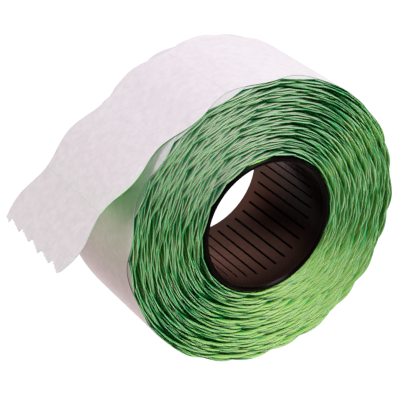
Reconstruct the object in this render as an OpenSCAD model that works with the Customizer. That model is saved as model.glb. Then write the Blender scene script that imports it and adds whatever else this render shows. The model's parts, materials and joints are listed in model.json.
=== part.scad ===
// Roll of wave-edged price labels on a green liner, wound on a grooved plastic
// core. Millimetres. The roll's axis is Y, the front rim faces -Y, +Z is up, and
// the origin is the centre of the core's bore. The strip's loose end leaves the
// roll at the upper left.

/* [Core] */
// Outside diameter of the core
core_d = 28.4; // [27:0.1:32]
// Diameter of the core's bore
bore_d = 26.1; // [24:0.1:26.4]
// Length of the core along the roll's axis
core_l = 26; // [24:0.5:30]
// Chamfer on the core's inner and outer rims
rim_chamfer = 0.35; // [0.1:0.05:0.4]
// Number of grooves around the bore
groove_n = 36; // [18:2:40]
// Width of one groove
groove_w = 0.4; // [0.2:0.05:0.5]
// Depth of one groove
groove_h = 0.35; // [0.1:0.05:0.6]
// Turn of the first groove from +X, as a share of the spacing
groove_phase = 0.25; // [0:0.05:1]
// Plain wall left between the front rim and the grooves
groove_front = 4.6; // [2:0.1:8]
// Plain wall left between the rear rim and the grooves
groove_rear = 2.7; // [1:0.1:6]

/* [Label strip] */
// Greatest width of a label, across the bulge of its wavy edges
label_w = 26; // [20:0.5:32]
// Length of one label, which is also one wave of the edge
label_pitch = 16; // [12:0.5:20]
// How far each edge bulges from its narrowest to its widest
wave_depth = 1.85; // [0:0.05:2.5]
// Thickness of the liner
liner_t = 0.05; // [0.03:0.005:0.08]
// Thickness of a label with its adhesive
label_t = 0.075; // [0.05:0.005:0.12]
// Thickness that one turn of strip adds to the roll
turn_t = 0.134; // [0.12:0.001:0.2]
// Number of labels on a full roll
label_count = 1000; // [200:50:1200]
// Offset of the strip from the middle of the core, towards the rear
strip_offset = 0.5; // [-1:0.1:1]

/* [Loose end] */
// Direction on the roll where the strip leaves it, up from +X
leave_angle = 123; // [110:1:140]
// Length of strip from there to the first die cut
first_l = 7; // [4:0.5:9]
// Bend towards the roll over the first whole label
middle_turn = 14; // [0:1:16]
// Bend away from the roll over the torn label
end_turn = 2; // [0:1:10]
// Length of the torn label, to the middle of its teeth
torn_l = 13.1; // [8:0.1:15]
// Number of teeth along the torn edge
tooth_n = 7; // [4:1:10]
// Depth of the teeth
tooth_h = 1; // [0.4:0.1:2]
// Extra length of the torn edge at the front side of the strip
torn_skew = 1; // [0:0.1:2]

/* [Inside] */
// Length around the core of the tape that anchors the liner
tape_l = 14; // [8:1:20]
// Width of the anchoring tape
tape_w = 18; // [10:1:22]
// Thickness of the anchoring tape
tape_t = 0.05; // [0.03:0.01:0.08]

/* [Hidden] */
core_r = core_d / 2;
bore_r = bore_d / 2;
wave_a = wave_depth / 2;
mean_w = label_w - wave_depth;
// The roll's radius follows from the length of strip wound on it
roll_r = sqrt(pow(core_r, 2) + label_count * label_pitch * turn_t / PI);
web_inner_r = core_r + 0.09;
// Air left between the stacked layers of the outermost turn, and between pieces end to end
layer_gap = 0.02;
cut_gap = 0.12;
label_start = liner_t + layer_gap;
// Radius of the inner face of the outermost turn's liner
strip_r = roll_r - label_start - label_t;
// Fall of the outermost turn's radius around the roll: one thickness and some air
outer_drop = turn_t + 0.06;
web_outer_r = strip_r - outer_drop - 0.04;
deg_per_mm = 180 / (PI * strip_r);
// Whole labels that lie on the exposed surface of the roll
outer_labels = floor(2 * PI * strip_r / label_pitch);
// Places along the strip, measured from the line where it leaves the roll
lift_s = first_l - label_pitch;
bend_1_s = first_l;
bend_2_s = first_l + label_pitch;
end_s = bend_2_s + torn_l;
// Spacing of the stations along a piece of strip, and round facets
step = 1;
core_fn = 144;
tooth_cols = tooth_n * 2;
torn_rows = 4;

liner_green = [0.10, 0.52, 0.20];
label_white = [0.93, 0.92, 0.94];
core_brown = [0.13, 0.09, 0.08];
tape_cream = [0.80, 0.74, 0.58];

// Names the labels of the outermost turn from the loose end backwards
function label_name(i) = str("label_", i < 10 ? "0" : "", i);

// Point and heading [x, z, heading] after l millimetres of an arc that starts at
// p and turns by turn degrees over its whole length whole
function arc_on(p, l, whole, turn) =
    let (a = turn * l / whole, mid = p[2] + a / 2, half = abs(a) / 2)
    let (chord = half < 0.01 ? l : l * sin(half) / (half * PI / 180))
    [p[0] + chord * cos(mid), p[1] + chord * sin(mid), p[2] + a];

leave_p = [strip_r * cos(leave_angle), strip_r * sin(leave_angle), leave_angle + 90];
bend_1_p = arc_on(leave_p, first_l, first_l, 0);
bend_2_p = arc_on(bend_1_p, label_pitch, label_pitch, middle_turn);

// Point and heading of the strip's inner face at s
function strip_at(s) =
    s <= 0 ? let (a = leave_angle + s * deg_per_mm, r = strip_r + outer_drop * s * deg_per_mm / 360)
        [r * cos(a), r * sin(a), a + 90]
    : s <= bend_1_s ? arc_on(leave_p, s, first_l, 0)
    : s <= bend_2_s ? arc_on(bend_1_p, s - bend_1_s, label_pitch, middle_turn)
    : arc_on(bend_2_p, s - bend_2_s, torn_l, -end_turn);

// Half the strip's width at s: one wave for each label, narrowest at the die cuts
function half_width(s) = mean_w / 2 - wave_a * cos(360 * (s - first_l) / label_pitch);

// Point on the strip at s, at height h above its inner face, across from -1 to 1
function strip_point(s, h, across) =
    let (p = strip_at(s))
    [p[0] + h * sin(p[2]), strip_offset + across * half_width(s), p[1] - h * cos(p[2])];

// Length that the torn edge adds at a column: every other column is a tooth's tip
function torn_extra(col, cols) =
    tooth_h * (col % 2 == 0 ? 0.5 : -0.5) * (0.7 + 0.3 * cos(100 * col))
    + torn_skew * (0.5 - col / cols);

// Share of that extra length taken by a station: none until the last few
function torn_share(row, rows) = max(0, 1 - (rows - row) / torn_rows);

// A piece of strip from s0 to s1, between heights h0 and h1 above the strip's
// inner face; torn gives its end a toothed edge
module strip_piece(s0, s1, h0, h1, torn = false) {
    rows = ceil((s1 - s0) / step);
    cols = torn ? tooth_cols : 1;
    layer = (rows + 1) * (cols + 1);
    function s_of(i, j) =
        s0 + (s1 - s0) * i / rows + (torn ? torn_extra(j, cols) * torn_share(i, rows) : 0);
    function sheet_points(h) =
        [for (i = [0:rows]) for (j = [0:cols]) strip_point(s_of(i, j), h, 2 * j / cols - 1)];
    function k(i, j) = i * (cols + 1) + j;
    function two(a, b, c, d) = [[a, b, c], [a, c, d]];
    top = [for (i = [0:rows - 1]) for (j = [0:cols - 1])
        each two(layer + k(i, j), layer + k(i + 1, j), layer + k(i + 1, j + 1), layer + k(i, j + 1))];
    bottom = [for (i = [0:rows - 1]) for (j = [0:cols - 1])
        each two(k(i, j), k(i, j + 1), k(i + 1, j + 1), k(i + 1, j))];
    front = [for (i = [0:rows - 1])
        each two(k(i, 0), k(i + 1, 0), layer + k(i + 1, 0), layer + k(i, 0))];
    rear = [for (i = [0:rows - 1])
        each two(k(i, cols), layer + k(i, cols), layer + k(i + 1, cols), k(i + 1, cols))];
    first_end = [for (j = [0:cols - 1])
        each two(k(0, j), layer + k(0, j), layer + k(0, j + 1), k(0, j + 1))];
    last_end = [for (j = [0:cols - 1])
        each two(k(rows, j), k(rows, j + 1), layer + k(rows, j + 1), layer + k(rows, j))];
    polyhedron(
        points = concat(sheet_points(h0), sheet_points(h1)),
        faces = concat(top, bottom, front, rear, first_end, last_end)
    );
}

// Liner between two places along the strip
module liner(s0, s1, torn = false) {
    color(liner_green) strip_piece(s0 + cut_gap / 2, s1 - cut_gap / 2, 0, liner_t, torn);
}

// Label between two places along the strip, on the outside of the liner
module label(s0, s1, torn = false) {
    color(label_white)
    strip_piece(s0 + cut_gap / 2, s1 - cut_gap / 2, label_start, label_start + label_t, torn);
}

// Turns a shape drawn along Z so that it lies along the roll's axis
module along_axis(length) {
    rotate([-90, 0, 0]) translate([0, 0, -length / 2]) children();
}

// Moulded core: a plain tube with chamfered rims and a band of fine grooves
module core() {
    groove_l = core_l - groove_front - groove_rear;
    color(core_brown)
    difference() {
        along_axis(core_l) rotate_extrude($fn = core_fn) polygon([
            [bore_r, rim_chamfer],
            [bore_r + rim_chamfer, 0],
            [core_r - rim_chamfer, 0],
            [core_r, rim_chamfer],
            [core_r, core_l - rim_chamfer],
            [core_r - rim_chamfer, core_l],
            [bore_r + rim_chamfer, core_l],
            [bore_r, core_l - rim_chamfer]
        ]);
        for (i = [0:groove_n - 1])
            rotate([0, -(i + groove_phase) * 360 / groove_n, 0])
            translate([bore_r - groove_h, groove_front - core_l / 2, -groove_w / 2])
            cube([2 * groove_h, groove_l, groove_w]);
    }
}

// Tape that anchors the liner's first turn to the core
module start_tape() {
    tape_gap = 0.02;
    color(tape_cream)
    translate([0, strip_offset, 0])
    along_axis(tape_w)
    rotate_extrude(angle = tape_l / core_r * 180 / PI, $fn = core_fn)
    translate([core_r + tape_gap, 0])
    square([tape_t, tape_w]);
}

// All the turns under the outermost one
module wound_web() {
    color(liner_green)
    translate([0, strip_offset, 0])
    along_axis(mean_w)
    rotate_extrude($fn = core_fn)
    translate([web_inner_r, 0])
    square([web_outer_r - web_inner_r, mean_w]);
}

// Liner of the outermost turn, up to the die cut where the loose end lifts off
module outer_liner() {
    liner(lift_s - outer_labels * label_pitch, lift_s);
}

// One label of the outermost turn, counted back from the loose end
module outer_label(i) {
    label(lift_s - i * label_pitch, lift_s - (i - 1) * label_pitch);
}

// The loose end's three stretches of liner, joined at the die cuts
module tail_liner_1() { liner(lift_s, bend_1_s); }
module tail_liner_2() { liner(bend_1_s, bend_2_s); }
module tail_liner_3() { liner(bend_2_s, end_s, torn = true); }

// The loose end's labels; the last one is torn across
module tail_label_1() { label(lift_s, bend_1_s); }
module tail_label_2() { label(bend_1_s, bend_2_s); }
module tail_label_3() { label(bend_2_s, end_s, torn = true); }

core();
start_tape();
wound_web();
outer_liner();
for (i = [1:outer_labels])
    outer_label(i);
tail_liner_1();
tail_liner_2();
tail_liner_3();
tail_label_1();
tail_label_2();
tail_label_3();
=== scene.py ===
"""Looks for a roll of wave-edged price labels: the wound strip, its loose end and the moulded core."""
import json
import math

import bpy
import numpy as np
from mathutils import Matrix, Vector


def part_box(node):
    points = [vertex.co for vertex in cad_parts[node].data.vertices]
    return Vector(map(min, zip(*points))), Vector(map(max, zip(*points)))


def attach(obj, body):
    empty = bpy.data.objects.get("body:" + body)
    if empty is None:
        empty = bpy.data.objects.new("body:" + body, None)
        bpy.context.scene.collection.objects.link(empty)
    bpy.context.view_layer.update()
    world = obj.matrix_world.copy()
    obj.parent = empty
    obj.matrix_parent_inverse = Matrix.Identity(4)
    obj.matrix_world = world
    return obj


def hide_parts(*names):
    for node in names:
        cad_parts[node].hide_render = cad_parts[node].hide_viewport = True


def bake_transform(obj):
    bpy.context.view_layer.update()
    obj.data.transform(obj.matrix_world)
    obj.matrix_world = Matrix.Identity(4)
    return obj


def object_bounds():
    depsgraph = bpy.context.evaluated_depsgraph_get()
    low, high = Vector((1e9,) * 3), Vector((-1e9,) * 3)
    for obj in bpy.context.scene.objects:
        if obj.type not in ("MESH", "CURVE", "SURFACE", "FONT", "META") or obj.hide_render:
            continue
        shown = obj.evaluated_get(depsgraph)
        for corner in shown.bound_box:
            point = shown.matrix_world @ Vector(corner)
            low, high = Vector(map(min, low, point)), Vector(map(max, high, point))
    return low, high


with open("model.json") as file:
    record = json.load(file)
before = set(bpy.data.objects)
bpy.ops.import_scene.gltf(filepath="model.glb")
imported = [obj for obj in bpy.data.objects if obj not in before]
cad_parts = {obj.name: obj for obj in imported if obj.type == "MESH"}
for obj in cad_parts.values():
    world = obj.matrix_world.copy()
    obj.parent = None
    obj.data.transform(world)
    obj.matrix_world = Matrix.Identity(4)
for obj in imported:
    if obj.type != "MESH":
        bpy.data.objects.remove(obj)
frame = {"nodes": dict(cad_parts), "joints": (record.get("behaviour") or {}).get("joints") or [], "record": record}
cad_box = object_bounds()

MM = 0.001

# ---------------------------------------------------------------- sizes, in millimetres

# From the frame
core_low, core_high = (np.array(corner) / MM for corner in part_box("core"))
label_low, label_high = (np.array(corner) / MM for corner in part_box("label_04"))
CORE_R = (core_high[0] - core_low[0]) / 2
CORE_FRONT = core_low[1]
BORE_R = next(m for m in frame["record"]["mounts"] if m["name"] == "core_bore")["dims"]["r_mm"]
LABEL_W = label_high[1] - label_low[1]
STRIP_Y = (label_high[1] + label_low[1]) / 2
BEND_1 = np.array(next(j for j in frame["joints"] if j["name"] == "tail_bend_1")["pos_m"]) / MM

# Of the strip, as in the CAD: one label and one wave of the edge, half the edge's bulge, the
# thickness a turn adds, and the loose end's lengths, bends and direction
PITCH = 16.0
WAVE = 1.85 / 2
MEAN_W = LABEL_W - 2 * WAVE
TURN_T = 0.134
FACE_LABELS = 11
LEAVE = math.radians(123)
FIRST_L = 7.0
TORN_L = 13.1
MIDDLE_TURN = math.radians(14)
END_TURN = math.radians(-2)

# Low and high side of the liner and of its label above the strip's inner face: about the same
# thickness each, so that both show on the roll's face, and together less than a turn
LINER_HEIGHTS = (0.0, 0.064)
LABEL_HEIGHTS = (0.066, 0.128)
# Half the gap at a die cut: on the loose end and outermost turn, and between wound labels
CUT = 0.018
WOUND_CUT = 0.03

# The hinges' height above the strip's inner face gives that face's radius where it leaves the roll
HINGE_H = 0.07
STRIP_R = math.sqrt(BEND_1[0] ** 2 + BEND_1[2] ** 2 - FIRST_L ** 2) - HINGE_H

# Places along the strip, measured from the line where it leaves the roll
CREASE_1 = FIRST_L
CREASE_2 = FIRST_L + PITCH
LIFT = FIRST_L - PITCH
WEB_END = LIFT - FACE_LABELS * PITCH
END = CREASE_2 + TORN_L
WOUND_L = math.pi * (STRIP_R ** 2 - (CORE_R + 0.1) ** 2) / TURN_T


# ---------------------------------------------------------------- the strip's path

def arc(start, length, whole, turn):
    """x, z and heading, as arrays over length, on an arc that turns by turn over its whole length."""
    x, z, heading = start
    angle = turn * length / whole
    chord = length * np.sinc(angle / 2 / math.pi)
    middle = heading + angle / 2
    return x + chord * np.cos(middle), z + chord * np.sin(middle), heading + angle


LEAVE_P = (STRIP_R * math.cos(LEAVE), STRIP_R * math.sin(LEAVE), LEAVE + math.pi / 2)
BEND_1_P = arc(LEAVE_P, FIRST_L, FIRST_L, 0.0)
BEND_2_P = arc(BEND_1_P, PITCH, PITCH, MIDDLE_TURN)


def wound_angle(s):
    """Angle wound back from the leaving line at s, for a strip that climbs one thickness a turn."""
    back = np.maximum(-s, 0.0)
    return (STRIP_R - np.sqrt(STRIP_R ** 2 - TURN_T * back / math.pi)) * 2 * math.pi / TURN_T


def path(s):
    """x, z and heading of the strip's inner face at the lengths s."""
    s = np.asarray(s, float)
    angle = wound_angle(s)
    r = STRIP_R - TURN_T * angle / (2 * math.pi)
    at = LEAVE - angle
    wound = np.stack([r * np.cos(at), r * np.sin(at), at + math.pi / 2])
    first = np.stack(np.broadcast_arrays(*arc(LEAVE_P, s, FIRST_L, 0.0)))
    middle = np.stack(np.broadcast_arrays(*arc(BEND_1_P, s - CREASE_1, PITCH, MIDDLE_TURN)))
    last = np.stack(np.broadcast_arrays(*arc(BEND_2_P, s - CREASE_2, TORN_L, END_TURN)))
    return np.select([s <= 0, s <= CREASE_1, s <= CREASE_2], [wound, first, middle], last)


def half_width(s):
    """Half the strip's width: one wave for each label, narrowest at the die cuts."""
    return MEAN_W / 2 - WAVE * np.cos(2 * math.pi * (s - CREASE_1) / PITCH)


# Height, length and phase of each part of the winding's sideways wander
SWAYS = ((0.12, 61.0, 1.0), (0.10, 23.7, 0.0), (0.05, 9.1, 2.0))
# How far the first turns stand proud at the front, and the length of strip over which that fades
PROUD = 0.7
PROUD_FADE = 900.0
# Length over which the wander dies out before the loose end
STEADY_L = 40.0


def slip(s):
    """Sideways shift of the strip as it was wound, none on the loose end."""
    wander = sum(height * np.sin(s / length + phase) for height, length, phase in SWAYS)
    proud = PROUD * np.exp(-(s + WOUND_L) / PROUD_FADE)
    return (wander - proud) * np.clip(-(s - LIFT) / STEADY_L, 0.0, 1.0)


def strip_points(s, across, height):
    """Points, in metres, at lengths s, places across from -1 to 1, and a height above the inner face."""
    x, z, heading = path(s)
    y = STRIP_Y + slip(s) + across * half_width(s)
    return np.stack([x + height * np.sin(heading), y, z - height * np.cos(heading)], axis=-1) * MM


# ---------------------------------------------------------------- mesh making

def link(name, data):
    piece = bpy.data.objects.new(name, data)
    bpy.context.scene.collection.objects.link(piece)
    return piece


def mesh_from(name, points, quads, crease_deg=40):
    """A smooth-shaded mesh object from arrays of points and four-sided faces."""
    mesh = bpy.data.meshes.new(name)
    mesh.vertices.add(len(points))
    mesh.vertices.foreach_set("co", points.astype(np.float32).ravel())
    mesh.loops.add(quads.size)
    mesh.loops.foreach_set("vertex_index", quads.astype(np.int32).ravel())
    mesh.polygons.add(len(quads))
    mesh.polygons.foreach_set("loop_start", np.arange(0, quads.size, 4, dtype=np.int32))
    mesh.update(calc_edges=True)
    mesh.validate()
    mesh.polygons.foreach_set("use_smooth", np.ones(len(mesh.polygons), dtype=bool))
    mesh.set_sharp_from_angle(angle=math.radians(crease_deg))
    return link(name, mesh)


def sheet_quads(rows, cols):
    """Faces of a closed sheet of rows by cols points, the low side's points first, then the high side's."""
    grid = np.arange(rows * cols).reshape(rows, cols)
    high = grid + rows * cols

    def quads(a, b, c, d):
        return np.stack([a.ravel(), b.ravel(), c.ravel(), d.ravel()], axis=-1)

    return np.concatenate([
        quads(high[:-1, :-1], high[:-1, 1:], high[1:, 1:], high[1:, :-1]),
        quads(grid[:-1, :-1], grid[1:, :-1], grid[1:, 1:], grid[:-1, 1:]),
        quads(grid[:-1, 0], high[:-1, 0], high[1:, 0], grid[1:, 0]),
        quads(grid[:-1, -1], grid[1:, -1], high[1:, -1], high[:-1, -1]),
        quads(grid[0, :-1], grid[0, 1:], high[0, 1:], high[0, :-1]),
        quads(grid[-1, :-1], high[-1, :-1], high[-1, 1:], grid[-1, 1:]),
    ])


def sheets(name, s, across, bottom, top):
    """One object of closed strip pieces. s and across are arrays of pieces, rows and columns."""
    count, rows, cols = s.shape
    layers = [strip_points(s, across, height).reshape(count, -1, 3) for height in (bottom, top)]
    points = np.concatenate(layers, axis=1)
    faces = sheet_quads(rows, cols)
    offsets = np.arange(count)[:, None, None] * points.shape[1]
    piece = mesh_from(name, points.reshape(-1, 3), (faces[None] + offsets).reshape(-1, 4))
    place = np.stack([s, across, half_width(s)], axis=-1).reshape(count, -1, 3)
    place = np.concatenate([place, place], axis=1)
    attribute = piece.data.attributes.new("strip", "FLOAT_VECTOR", "POINT")
    attribute.data.foreach_set("vector", place.astype(np.float32).ravel())
    return piece


def thin_sheets(name, s, bottom, top):
    """Closed strip pieces with a column of points at each edge only. s is an array of pieces and rows."""
    across = np.array([-1.0, 1.0])
    return sheets(name, *np.broadcast_arrays(s[:, :, None], across), bottom, top)


# Length of strip that the torn edge's teeth are drawn out of, and the rows' spacing
TORN_REACH = 3.0
ROW_STEP = 0.5


def strip_sheet(name, s0, s1, bottom, top, cols=9, torn=None):
    """One closed piece of strip from s0 to s1, between two heights above the strip's inner face."""
    rows = max(2, int(round((s1 - s0) / ROW_STEP)) + 1)
    s = np.linspace(s0, s1, rows)[:, None] + np.zeros((1, cols))
    across = np.linspace(-1.0, 1.0, cols)[None, :] + np.zeros((rows, 1))
    if torn:
        share = np.clip(1 - (s1 - s) / TORN_REACH, 0.0, 1.0)
        s = s + torn(across) * share
    return sheets(name, s[None], across[None], bottom, top)


# ---------------------------------------------------------------- shader nodes

def new_material(name):
    material = bpy.data.materials.new(name)
    material.use_nodes = True
    tree = material.node_tree
    return material, tree, tree.nodes["Principled BSDF"]


def object_place(tree):
    return tree.nodes.new("ShaderNodeTexCoord").outputs["Object"]


def separate(tree, vector):
    """The X, Y and Z of a vector."""
    node = tree.nodes.new("ShaderNodeSeparateXYZ")
    tree.links.new(vector, node.inputs["Vector"])
    return node.outputs["X"], node.outputs["Y"], node.outputs["Z"]


def math_node(tree, operation, *values):
    """A Math node over sockets and plain numbers."""
    node = tree.nodes.new("ShaderNodeMath")
    node.operation = operation
    for socket, value in zip(node.inputs, values):
        if isinstance(value, (int, float)):
            socket.default_value = value
        else:
            tree.links.new(value, socket)
    return node.outputs["Value"]


def map_range(tree, value, source=(0.0, 1.0), target=(0.0, 1.0)):
    """The value carried, and clamped, from one range to another."""
    node = tree.nodes.new("ShaderNodeMapRange")
    for name, number in zip(("From Min", "From Max", "To Min", "To Max"), (*source, *target)):
        node.inputs[name].default_value = number
    tree.links.new(value, node.inputs["Value"])
    return node.outputs["Result"]


def noise(tree, scale, detail, roughness=0.55, stretch=None):
    """A noise texture over object coordinates, scale in waves per metre."""
    vector = object_place(tree)
    if stretch:
        mapping = tree.nodes.new("ShaderNodeMapping")
        mapping.inputs["Scale"].default_value = stretch
        tree.links.new(vector, mapping.inputs["Vector"])
        vector = mapping.outputs["Vector"]
    node = tree.nodes.new("ShaderNodeTexNoise")
    node.inputs["Scale"].default_value = scale
    node.inputs["Detail"].default_value = detail
    node.inputs["Roughness"].default_value = roughness
    tree.links.new(vector, node.inputs["Vector"])
    return node.outputs["Fac"]


def ramp(tree, value, stops):
    """A colour ramp, with its stops in order."""
    node = tree.nodes.new("ShaderNodeValToRGB")
    elements = node.color_ramp.elements
    for element, (place, colour) in zip(elements, (stops[0], stops[-1])):
        element.position = place
        element.color = (*colour, 1.0)
    for place, colour in stops[1:-1]:
        elements.new(place).color = (*colour, 1.0)
    tree.links.new(value, node.inputs["Fac"])
    return node.outputs["Color"]


def mixed(tree, share, first, second):
    """A mix of two colours, each a socket or a plain colour."""
    node = tree.nodes.new("ShaderNodeMix")
    node.data_type = "RGBA"
    tree.links.new(share, node.inputs["Factor"])
    for socket, colour in ((node.inputs["A"], first), (node.inputs["B"], second)):
        if isinstance(colour, tuple):
            socket.default_value = (*colour, 1.0)
        else:
            tree.links.new(colour, socket)
    return node.outputs["Result"]


def bump(tree, shader, value, strength, distance):
    """Relief from a value, its full height in metres."""
    node = tree.nodes.new("ShaderNodeBump")
    node.inputs["Strength"].default_value = strength
    node.inputs["Distance"].default_value = distance
    tree.links.new(value, node.inputs["Height"])
    tree.links.new(node.outputs["Normal"], shader.inputs["Normal"])


def see_through(tree, shader, colour, share):
    """Lets light through a thin sheet: the shader mixed with a Translucent one."""
    glow = tree.nodes.new("ShaderNodeBsdfTranslucent")
    glow.inputs["Color"].default_value = (*colour, 1.0)
    mix = tree.nodes.new("ShaderNodeMixShader")
    mix.inputs["Fac"].default_value = share
    tree.links.new(shader.outputs["BSDF"], mix.inputs[1])
    tree.links.new(glow.outputs["BSDF"], mix.inputs[2])
    tree.links.new(mix.outputs["Shader"], tree.nodes["Material Output"].inputs["Surface"])


def cut_edge(tree):
    """1 on a sheet's long cut edges, which face along the roll's axis, and 0 on its flat sides."""
    normal = tree.nodes.new("ShaderNodeNewGeometry").outputs["Normal"]
    along_axis = math_node(tree, "ABSOLUTE", separate(tree, normal)[1])
    return map_range(tree, along_axis, (0.5, 0.8))


def strip_place(tree):
    """Length along the strip, place across it from -1 to 1, and half its width there, in millimetres."""
    place = tree.nodes.new("ShaderNodeAttribute")
    place.attribute_name = "strip"
    return separate(tree, place.outputs["Vector"])


def strip_streaks(tree, scale):
    """Noise that changes only along the strip, so that each turn differs from its neighbours."""
    node = tree.nodes.new("ShaderNodeTexNoise")
    node.noise_dimensions = "1D"
    node.inputs["Scale"].default_value = scale
    tree.links.new(strip_place(tree)[0], node.inputs["W"])
    return node.outputs["Fac"]


def crest(tree):
    """0 where the strip is narrowest, at the die cuts, and 1 where its edge stands out most."""
    half = strip_place(tree)[2]
    return math_node(tree, "DIVIDE", math_node(tree, "SUBTRACT", half, MEAN_W / 2 - WAVE), 2 * WAVE)


def inset(tree, depth):
    """0 at the strip's wavy edge, rising to 1 at a depth in millimetres inside it."""
    _, across, half = strip_place(tree)
    share = math_node(tree, "SUBTRACT", 1.0, math_node(tree, "ABSOLUTE", across))
    return math_node(tree, "DIVIDE", math_node(tree, "MULTIPLY", share, half), depth)


# ---------------------------------------------------------------- materials

# Depth inside the wavy edge over which the wound papers' colour changes, from painted light at the exposed rim to
# painted shade further in
RIM_LIGHT_SHADE_DEPTH = 1.6
# Lengths before the wound strip's outer end where the label rims' painted green shade starts to fade to white, and
# is gone
RIM_SHADE_FADE_FROM = 600.0
RIM_SHADE_GONE_BY = 350.0


def label_paper():
    """White label paper: soft mottle, fine fibres, and light that passes through part of it."""
    material, tree, shader = new_material("label_paper")
    fibre = noise(tree, 1800.0, detail=5.0)
    blotch = noise(tree, 700.0, detail=6.0, roughness=0.8)
    colour = ramp(tree, blotch, [(0.37, (0.79, 0.69, 0.765)), (0.63, (0.97, 0.85, 0.94))])
    colour = mixed(tree, cut_edge(tree), colour, (0.42, 0.47, 0.40))
    tree.links.new(colour, shader.inputs["Base Color"])
    tree.links.new(map_range(tree, fibre, target=(0.55, 0.75)), shader.inputs["Roughness"])
    bump(tree, shader, blotch, 0.2, 0.0001)
    see_through(tree, shader, (0.95, 0.93, 0.95), share=0.3)
    return material


def wound_label_paper():
    """The same paper inside the roll, with painted light and shade: cut edges streaked pale where painted lit and
    green where painted shaded, and rims painted green as shade deeper inside the edge.
    """
    material, tree, shader = new_material("wound_label_paper")
    # Painted shade: the white label rims turn dark green deeper inside the edge, where the turns shade each other;
    # on the outer turns this painted shade fades back to the label's white.
    shaded_rim = ramp(tree, inset(tree, RIM_LIGHT_SHADE_DEPTH),
               [(0.0, (0.86, 0.77, 0.72)), (0.25, (0.23, 0.33, 0.22)), (0.6, (0.001, 0.20, 0.08))])
    near_outside = map_range(tree, strip_place(tree)[0], (WEB_END - RIM_SHADE_FADE_FROM, WEB_END - RIM_SHADE_GONE_BY))
    shaded_rim = mixed(tree, near_outside, shaded_rim, (0.80, 0.69, 0.78))
    # Painted light and shade on the cut edges: pale where lit and dark green where shaded, picked per turn by the
    # streak noise and paler towards the wave crests, which stand out into the light.
    crest_light = math_node(tree, "MULTIPLY", crest(tree), 0.3)
    streak_and_crest_light = math_node(tree, "ADD", strip_streaks(tree, 0.15), crest_light)
    edge_light_and_shade = ramp(tree, streak_and_crest_light, [(0.60, (0.002, 0.40, 0.15)), (0.84, (0.68, 0.90, 0.58))])
    tree.links.new(mixed(tree, cut_edge(tree), shaded_rim, edge_light_and_shade), shader.inputs["Base Color"])
    shader.inputs["Roughness"].default_value = 0.6
    shader.inputs["Specular IOR Level"].default_value = 0.1
    see_through(tree, shader, (0.10, 0.62, 0.28), share=0.25)
    return material


def liner_paper(name, share, glow, deep_green_and_shade):
    """Green glazed liner: pale yellow-green near its edges as painted light on the exposed rims, its own deep
    green further in, darkened there as painted shade between the turns of the roll, and light through a share of
    it.
    """
    material, tree, shader = new_material(name)
    fibre = noise(tree, 1400.0, detail=4.0, stretch=(1.0, 0.25, 1.0))
    cloud = noise(tree, 150.0, detail=3.0)
    # Painted light and shade by depth inside the edge: pale yellow-green where the exposed rims catch light, deep
    # green further in, where the roll's turns shade each other.
    depth = math_node(tree, "ADD", inset(tree, RIM_LIGHT_SHADE_DEPTH), math_node(tree, "MULTIPLY", cloud, 0.15))
    colour = ramp(tree, depth, [(0.0, (0.97, 1.0, 0.52)), (0.35, (0.64, 0.97, 0.25)), (0.8, deep_green_and_shade)])
    colour = mixed(tree, cut_edge(tree), colour, (0.005, 0.40, 0.15))
    tree.links.new(colour, shader.inputs["Base Color"])
    tree.links.new(map_range(tree, fibre, target=(0.34, 0.5)), shader.inputs["Roughness"])
    bump(tree, shader, fibre, 0.2, 0.00003)
    shader.inputs["Specular IOR Level"].default_value = 0.12
    see_through(tree, shader, glow, share)
    return material


# Distances behind the core's front rim between which the bore's painted shade fades from dark to its brown
BORE_SHADE_DEEPEST = 1.5
BORE_SHADE_END = 15.0
# How far outside the bore's radius its wall still counts as wall, and not as groove, which is painted near-black
# as shade
GROOVE_SHADE_SLACK = 0.06


def core_plastic():
    """Near-black moulded plastic with a browner bore wall, which gets painted shade: near-black in its grooves and
    darker towards its front.
    """
    material, tree, shader = new_material("core_plastic")
    grain = noise(tree, 900.0, detail=4.0)
    flow = noise(tree, 90.0, detail=2.0, stretch=(1.0, 0.15, 1.0))
    wall = ramp(tree, flow, [(0.3, (0.104, 0.056, 0.045)), (0.75, (0.148, 0.082, 0.067))])
    x, y, z = separate(tree, object_place(tree))
    radius = math_node(tree, "SQRT", math_node(tree, "ADD", math_node(tree, "MULTIPLY", x, x),
                                               math_node(tree, "MULTIPLY", z, z)))
    # Painted shade: the grooves, beyond the bore's radius, stay near-black.
    wall_outside_groove_shade = math_node(tree, "LESS_THAN", radius, (BORE_R + GROOVE_SHADE_SLACK) * MM)
    span = ((CORE_FRONT + BORE_SHADE_DEEPEST) * MM, (CORE_FRONT + BORE_SHADE_END) * MM)
    # Painted shade: the bore wall darkens towards the front rim.
    front_shade = map_range(tree, y, span, (0.15, 1.0))
    share = math_node(tree, "MULTIPLY", wall_outside_groove_shade, front_shade)
    # The near-black is the plastic's own colour on the rims and outside, and painted shade in the grooves and near
    # the bore's front.
    tree.links.new(mixed(tree, share, (0.004, 0.002, 0.002), wall), shader.inputs["Base Color"])
    tree.links.new(map_range(tree, grain, target=(0.22, 0.34)), shader.inputs["Roughness"])
    shader.inputs["Specular IOR Level"].default_value = 0.03
    bump(tree, shader, grain, 0.12, 0.00005)
    return material


def tape_paper():
    """Cream creped paper tape."""
    material, tree, shader = new_material("tape_paper")
    crepe = noise(tree, 700.0, detail=3.0, stretch=(1.0, 0.3, 1.0))
    colour = ramp(tree, crepe, [(0.3, (0.62, 0.52, 0.30)), (0.7, (0.72, 0.63, 0.40))])
    tree.links.new(colour, shader.inputs["Base Color"])
    bump(tree, shader, crepe, 0.4, 0.0001)
    return material


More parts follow.
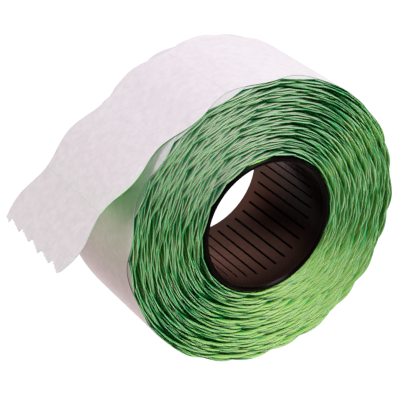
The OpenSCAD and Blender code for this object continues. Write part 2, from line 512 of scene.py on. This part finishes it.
LABEL = label_paper()
WOUND_LABEL = wound_label_paper()
LINER = liner_paper("liner_paper", 0.4, (0.05, 0.92, 0.16), (0.01, 0.64, 0.12))
LOOSE_LINER = liner_paper("loose_liner_paper", 0.8, (0.27, 1.0, 0.15), (0.02, 0.70, 0.12))
TORN_LINER = liner_paper("torn_liner_paper", 0.6, (0.22, 0.74, 0.22), (0.07, 0.53, 0.18))
CORE = core_plastic()
TAPE = tape_paper()


def finish_piece(piece, material, slot, body, *nodes):
    """Gives a piece its material, and its body if one is named, and hides the CAD nodes it stands for; the slot is
    not used.
    """
    piece.data.materials.append(material)
    if body:
        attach(piece, body)
    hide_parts(*nodes)


# ---------------------------------------------------------------- wound turns

PER_LABEL = 16


def wound_labels():
    count = int((WOUND_L + WEB_END) // PITCH)
    starts = WEB_END - PITCH * np.arange(1, count + 1)
    along = np.linspace(WOUND_CUT, PITCH - WOUND_CUT, PER_LABEL + 1)
    piece = thin_sheets("wound_labels", starts[:, None] + along, *LABEL_HEIGHTS)
    finish_piece(piece, WOUND_LABEL, "label", "roll", "wound_web")


def wound_liner():
    rows = int((WOUND_L + WEB_END) / PITCH * PER_LABEL)
    s = np.linspace(-WOUND_L, WEB_END, rows)
    piece = thin_sheets("wound_liner", s[None], *LINER_HEIGHTS)
    finish_piece(piece, LINER, "liner", "roll", "wound_web")


wound_labels()
wound_liner()


# ---------------------------------------------------------------- outermost turn

def outer_turn():
    liner = strip_sheet("outer_turn_liner", WEB_END, LIFT, *LINER_HEIGHTS)
    finish_piece(liner, LINER, "liner", "roll", "outer_liner")
    for i in range(1, FACE_LABELS + 1):
        s1 = LIFT - (i - 1) * PITCH
        piece = strip_sheet(f"face_label_{i:02d}", s1 - PITCH + CUT, s1 - CUT, *LABEL_HEIGHTS)
        finish_piece(piece, LABEL, "label", "roll", f"label_{i:02d}")


outer_turn()


# ---------------------------------------------------------------- loose end

# Points across the loose end, and how many teeth its torn edge has
COLS = 71
TEETH = 5.45
# Where in a tooth the rear edge starts, how much the tear takes off, and its slant to the rear edge
TOOTH_START = 0.55
TORN_SHORT = 0.55
TORN_SLANT = 0.3
# Lengths of strip given to bend_over: a longer one, and a short one at the last die cut
SOFT_BEND = 6.0
FOLD = 0.6


def torn_edge(across):
    """Extra length along the tear: from rear to front each tooth grows slowly, then drops back.

    The teeth differ in depth, and two finer ripples make their edges ragged."""
    place = (1 - across) / 2 * TEETH + TOOTH_START
    tooth = np.floor(place)
    depth = 1.0 + 0.25 * np.sin(tooth * 2.7 + 0.6)
    ragged = 0.09 * np.sin(place * 23.0) + 0.06 * np.sin(place * 41.0 + 1.0)
    return depth * (place - tooth - 0.5) + ragged - TORN_SHORT - TORN_SLANT * across


def bend_over(piece, s0, length):
    """Bakes the piece's placing into its mesh; the strip's points over the length from s0 are worked out but not
    used.
    """
    points = strip_points(np.array([s0, s0 + length]), 0.0, HINGE_H)
    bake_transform(piece)


def loose_stretch(number, s0, s1, bend, torn=None):
    """A stretch of the loose end's liner with its label."""
    liner = strip_sheet(f"loose_liner_{number}", s0, s1, *LINER_HEIGHTS, cols=COLS, torn=torn)
    finish_piece(liner, TORN_LINER if torn else LOOSE_LINER, "liner", None, f"tail_liner_{number}")
    bend_over(liner, s0, bend)
    end = s1 if torn else s1 - CUT
    label = strip_sheet(f"loose_label_{number}", s0 + CUT, end, *LABEL_HEIGHTS, cols=COLS, torn=torn)
    finish_piece(label, LABEL, "label", None, f"tail_label_{number}")
    if torn:
        bend_over(label, s0, SOFT_BEND)
    else:
        bend_over(label, s0, bend)


loose_stretch(1, LIFT, CREASE_1, SOFT_BEND)
loose_stretch(2, CREASE_1, CREASE_2, SOFT_BEND)
loose_stretch(3, CREASE_2, END, FOLD, torn_edge)


# ---------------------------------------------------------------- core and tape

for node, material in (("core", CORE), ("start_tape", TAPE)):
    for slot in frame["nodes"][node].material_slots:
        slot.material = material


# ---------------------------------------------------------------- floor, lights and camera

WHITE = (1.0, 1.0, 1.0)
CENTRE = (0.0, 0.0, 0.0)
LIGHT_SIZE = 0.4
LIGHT_DISTANCE = 0.9
FLOOR_SIZE = 6.0
FLOOR_GAP = 0.0001


def floor():
    """A plain pale floor that shines evenly, and neither lights nor shades the roll."""
    half = FLOOR_SIZE / 2
    z = float(cad_box[0][2]) - FLOOR_GAP
    mesh = bpy.data.meshes.new("floor")
    corners = [(-half, -half, z), (half, -half, z), (half, half, z), (-half, half, z)]
    mesh.from_pydata(corners, [], [(0, 1, 2, 3)])
    piece = link("floor", mesh)
    material, tree, shader = new_material("pale_floor")
    shader.inputs["Base Color"].default_value = (0.15, 0.15, 0.15, 1.0)
    shader.inputs["Roughness"].default_value = 0.9
    shader.inputs["Emission Color"].default_value = (*WHITE, 1.0)
    shader.inputs["Emission Strength"].default_value = 0.95
    mesh.materials.append(material)
    piece.visible_diffuse = False
    piece.visible_transmission = False
    piece.visible_shadow = False


def disk_light(name, angle, forward, power, colour=WHITE):
    """A round light at an angle in the roll's plane, 90 overhead, and a share of the way forward."""
    flat = math.sqrt(1 - forward ** 2) * LIGHT_DISTANCE
    at = math.radians(angle)
    place = Vector((flat * math.cos(at), -forward * LIGHT_DISTANCE, flat * math.sin(at)))
    lamp = bpy.data.lights.new(name, "AREA")
    lamp.shape = "DISK"
    lamp.size = LIGHT_SIZE
    lamp.energy = power
    lamp.color = colour
    holder = link(name, lamp)
    holder.location = place
    holder.rotation_euler = (Vector(CENTRE) - place).to_track_quat("-Z", "Y").to_euler()


def lights():
    world = bpy.data.worlds.new("studio")
    world.use_nodes = True
    background = world.node_tree.nodes["Background"]
    background.inputs["Color"].default_value = (*WHITE, 1.0)
    background.inputs["Strength"].default_value = 0.02
    bpy.context.scene.world = world
    disk_light("key", 72, 0.6, 7.4)
    disk_light("top_back", 100, -0.3, 2.0)
    disk_light("left_top", 135, 0.0, 1.2)
    disk_light("right", 15, -0.1, 2.2)
    disk_light("back", 90, -0.95, 1.2)
    disk_light("low_left", 205, -0.4, 2.6, (1.0, 0.80, 0.70))
    disk_light("below", 284, 0.25, 7.6, (1.0, 0.95, 0.86))


def camera():
    azimuth, elevation = math.radians(-30.43), math.radians(27.50)
    distance = 0.30956
    target = Vector((-0.00747, 0.0, 0.00170))
    back = Vector((math.sin(azimuth) * math.cos(elevation),
                   -math.cos(azimuth) * math.cos(elevation),
                   math.sin(elevation)))
    lens = bpy.data.cameras.new("camera")
    lens.lens = 143.5
    lens.sensor_width = 36.0
    lens.clip_start = 0.01
    holder = link("camera", lens)
    holder.location = target + back * distance
    holder.rotation_euler = (-back).to_track_quat("-Z", "Y").to_euler()
    bpy.context.scene.camera = holder


def tone_curve():
    """Film-like contrast: a soft shoulder for bright paper under a strong key light, and deep shadows."""
    shoulder, toe = 2.2, 1.3
    view = bpy.context.scene.view_settings
    view.view_transform = "Standard"
    view.use_curve_mapping = True
    combined = view.curve_mapping.curves[3]
    for level in (0.01, 0.02, 0.04, 0.07, 0.12, 0.2, 0.3, 0.45, 0.62, 0.8):
        bright = (1 - math.exp(-shoulder * level)) / (1 - math.exp(-shoulder))
        combined.points.new(level, bright ** toe)
    view.curve_mapping.update()


floor()
lights()
camera()
tone_curve()
